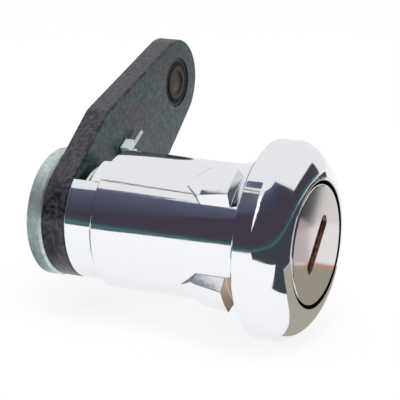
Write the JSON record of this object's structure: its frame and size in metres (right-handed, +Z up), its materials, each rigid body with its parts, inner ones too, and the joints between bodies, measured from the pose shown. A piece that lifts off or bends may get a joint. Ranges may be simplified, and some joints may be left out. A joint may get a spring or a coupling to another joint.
{
  "type": "car door lock cylinder",
  "caption": "Chromed car door lock cylinder with a domed head, a sprung quarter-turn key plug and a black lever whose bushed eye pulls the latch rod.",
  "frame": {"origin": "on the lock's axis, in the plane of the flat back of the head, which bears on the door", "axes": "+Y along the axis from the head to the lever, so the key slot looks to -Y; +Z up as in the picture"},
  "size_m": [0.0523, 0.0472, 0.0395],
  "materials": {
    "chrome": "bright chrome plate",
    "zinc": "bare die-cast zinc",
    "face_steel": "satin stainless steel",
    "seal_rubber": "matt",
    "shutter_brass": "dull brass",
    "spring_steel": "bright wire",
    "wafer_brass": "stamped",
    "lever_black": "semi-gloss moulded",
    "bush_black": "moulded"
  },
  "bodies": {
    "housing": {"housing": "chrome", "centring_spring": "spring_steel"},
    "plug": {"plug": "zinc", "plug_cap": "face_steel", "plug_seal": "seal_rubber", "shutter_pin": "spring_steel", "shutter_spring": "spring_steel", "lever": "lever_black", "rod_bush": "bush_black", "rear_disc": "zinc", "retaining_ring": "spring_steel", "wafer_spring_1": "spring_steel", "wafer_spring_2": "spring_steel", "wafer_spring_3": "spring_steel", "wafer_spring_4": "spring_steel", "wafer_spring_5": "spring_steel", "wafer_spring_6": "spring_steel", "wafer_spring_7": "spring_steel", "wafer_spring_8": "spring_steel"},
    "shutter": {"dust_shutter": "shutter_brass"},
    "wafer_1": {"wafer_1": "wafer_brass"},
    "wafer_2": {"wafer_2": "wafer_brass"},
    "wafer_3": {"wafer_3": "wafer_brass"},
    "wafer_4": {"wafer_4": "wafer_brass"},
    "wafer_5": {"wafer_5": "wafer_brass"},
    "wafer_6": {"wafer_6": "wafer_brass"},
    "wafer_7": {"wafer_7": "wafer_brass"},
    "wafer_8": {"wafer_8": "wafer_brass"}
  },
  "joints": [
    {"name": "plug_turn", "type": "hinge", "parent": "housing", "child": "plug", "pos_m": [0, 0, 0], "axis": [0, -1, 0], "range_deg": [-90, 90], "stiffness_Nm_per_rad": 0.04, "deforming": ["centring_spring"]},
    {"name": "shutter_swing", "type": "hinge", "parent": "plug", "child": "shutter", "pos_m": [0.0018, -0.0059, -0.00158], "axis": [-0.66, 0, -0.7513], "range_deg": [0, 75], "stiffness_Nm_per_rad": 0.0002, "springref_deg": -28.65, "deforming": ["shutter_spring"]},
    {"name": "wafer_1_slide", "type": "slide", "parent": "plug", "child": "wafer_1", "axis": [0.66, 0, 0.7513], "range_m": [0, 0.0013], "stiffness_N_per_m": 100, "springref_m": 0.003, "deforming": ["wafer_spring_1"]},
    {"name": "wafer_2_slide", "type": "slide", "parent": "plug", "child": "wafer_2", "axis": [-0.66, 0, -0.7513], "range_m": [0, 0.0013], "stiffness_N_per_m": 100, "springref_m": 0.003, "deforming": ["wafer_spring_2"]},
    {"name": "wafer_3_slide", "type": "slide", "parent": "plug", "child": "wafer_3", "axis": [0.66, 0, 0.7513], "range_m": [0, 0.0013], "stiffness_N_per_m": 100, "springref_m": 0.003, "deforming": ["wafer_spring_3"]},
    {"name": "wafer_4_slide", "type": "slide", "parent": "plug", "child": "wafer_4", "axis": [-0.66, 0, -0.7513], "range_m": [0, 0.0013], "stiffness_N_per_m": 100, "springref_m": 0.003, "deforming": ["wafer_spring_4"]},
    {"name": "wafer_5_slide", "type": "slide", "parent": "plug", "child": "wafer_5", "axis": [0.66, 0, 0.7513], "range_m": [0, 0.0013], "stiffness_N_per_m": 100, "springref_m": 0.003, "deforming": ["wafer_spring_5"]},
    {"name": "wafer_6_slide", "type": "slide", "parent": "plug", "child": "wafer_6", "axis": [-0.66, 0, -0.7513], "range_m": [0, 0.0013], "stiffness_N_per_m": 100, "springref_m": 0.003, "deforming": ["wafer_spring_6"]},
    {"name": "wafer_7_slide", "type": "slide", "parent": "plug", "child": "wafer_7", "axis": [0.66, 0, 0.7513], "range_m": [0, 0.0013], "stiffness_N_per_m": 100, "springref_m": 0.003, "deforming": ["wafer_spring_7"]},
    {"name": "wafer_8_slide", "type": "slide", "parent": "plug", "child": "wafer_8", "axis": [-0.66, 0, -0.7513], "range_m": [0, 0.0013], "stiffness_N_per_m": 100, "springref_m": 0.003, "deforming": ["wafer_spring_8"]}
  ]
}
